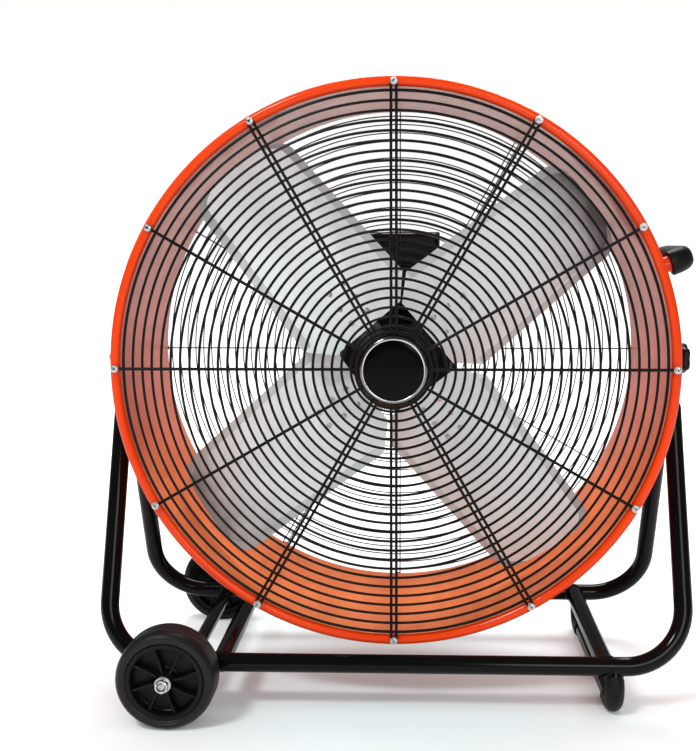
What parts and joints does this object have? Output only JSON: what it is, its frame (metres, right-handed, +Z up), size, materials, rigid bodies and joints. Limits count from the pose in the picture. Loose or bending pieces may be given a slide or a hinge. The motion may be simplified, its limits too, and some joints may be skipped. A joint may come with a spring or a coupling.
{
  "type": "drum fan",
  "caption": "Large round drum fan that tilts in an A-shaped tube stand, with wire grilles, a bladed rotor on a motor, a carry handle, two wheels and a skid foot.",
  "frame": {"origin": "floor point below the middle of the drum and of the tilt pivots", "axes": "+X to the right seen from the front, -Y the side the air leaves from, +Z up"},
  "size_m": [0.728, 0.4246, 0.7315],
  "materials": {
    "orange_paint": "gloss powder coat",
    "black_paint": "gloss powder coat",
    "black_wire": "satin powder coat",
    "rubber": "matte",
    "tyre": "matte",
    "black_plastic": "fine grain",
    "gloss_black": "polished",
    "zinc_steel": "zinc plated",
    "aluminium": "mill finish"
  },
  "bodies": {
    "stand": {"front_frame_loop": "black_paint", "rear_frame_loop": "black_paint", "left_cross_tube": "black_paint", "wheel_side_tube": "black_paint", "right_cross_tube": "black_paint", "skid_tube": "black_paint", "skid_sleeve_front": "rubber", "skid_sleeve_rear": "rubber", "front_wheel_stud": "zinc_steel", "rear_wheel_stud": "zinc_steel", "front_wheel_spacer": "zinc_steel", "rear_wheel_spacer": "zinc_steel", "front_wheel_nut": "zinc_steel", "rear_wheel_nut": "zinc_steel", "left_inner_washer": "black_plastic", "right_inner_washer": "black_plastic", "left_outer_washer": "zinc_steel", "right_outer_washer": "zinc_steel"},
    "drum": {"drum_shell": "orange_paint", "handle_tube": "orange_paint", "handle_grip": "rubber", "left_pivot_boss": "orange_paint", "right_pivot_boss": "orange_paint", "left_pivot_stud": "zinc_steel", "right_pivot_stud": "zinc_steel", "left_cap_nut": "zinc_steel", "front_grille_rings": "black_wire", "front_grille_spokes": "black_wire", "rear_grille_rings": "black_wire", "rear_grille_spokes": "black_wire", "badge_ring": "aluminium", "badge_disc": "gloss_black", "motor_body": "black_paint", "motor_mount_plate": "black_paint", "motor_lead": "rubber", "control_box": "black_plastic", "control_cover": "black_plastic", "cord_gland": "black_plastic"},
    "fan": {"motor_shaft": "zinc_steel", "rotor_spider": "black_paint", "rotor_hub_nut": "zinc_steel", "blade_1": "aluminium", "blade_2": "aluminium", "blade_3": "aluminium", "blade_4": "aluminium"},
    "front_wheel": {"front_wheel_tyre": "tyre", "front_wheel_hub": "black_plastic"},
    "rear_wheel": {"rear_wheel_tyre": "tyre", "rear_wheel_hub": "black_plastic"},
    "tilt_knob": {"tilt_lock_knob": "black_plastic"},
    "switch_knob": {"switch_knob": "black_plastic"}
  },
  "joints": [
    {"name": "drum_tilt", "type": "hinge", "parent": "stand", "child": "drum", "pos_m": [0, 0, 0.403], "axis": [1, 0, 0], "range_deg": [-90, 90]},
    {"name": "fan_spin", "type": "hinge", "parent": "drum", "child": "fan", "pos_m": [0, 0, 0.403], "axis": [0, 1, 0], "continuous": true},
    {"name": "front_wheel_spin", "type": "hinge", "parent": "stand", "child": "front_wheel", "pos_m": [-0.2565, -0.178, 0.057], "axis": [0, 1, 0], "continuous": true},
    {"name": "rear_wheel_spin", "type": "hinge", "parent": "stand", "child": "rear_wheel", "pos_m": [-0.2565, 0.178, 0.057], "axis": [0, 1, 0], "continuous": true},
    {"name": "tilt_knob_turn", "type": "hinge", "parent": "drum", "child": "tilt_knob", "pos_m": [0.357, 0, 0.403], "axis": [1, 0, 0], "continuous": true},
    {"name": "switch_turn", "type": "hinge", "parent": "drum", "child": "switch_knob", "pos_m": [0, 0.182, 0.52625], "axis": [0, 1, 0], "range_deg": [0, 120]}
  ]
}
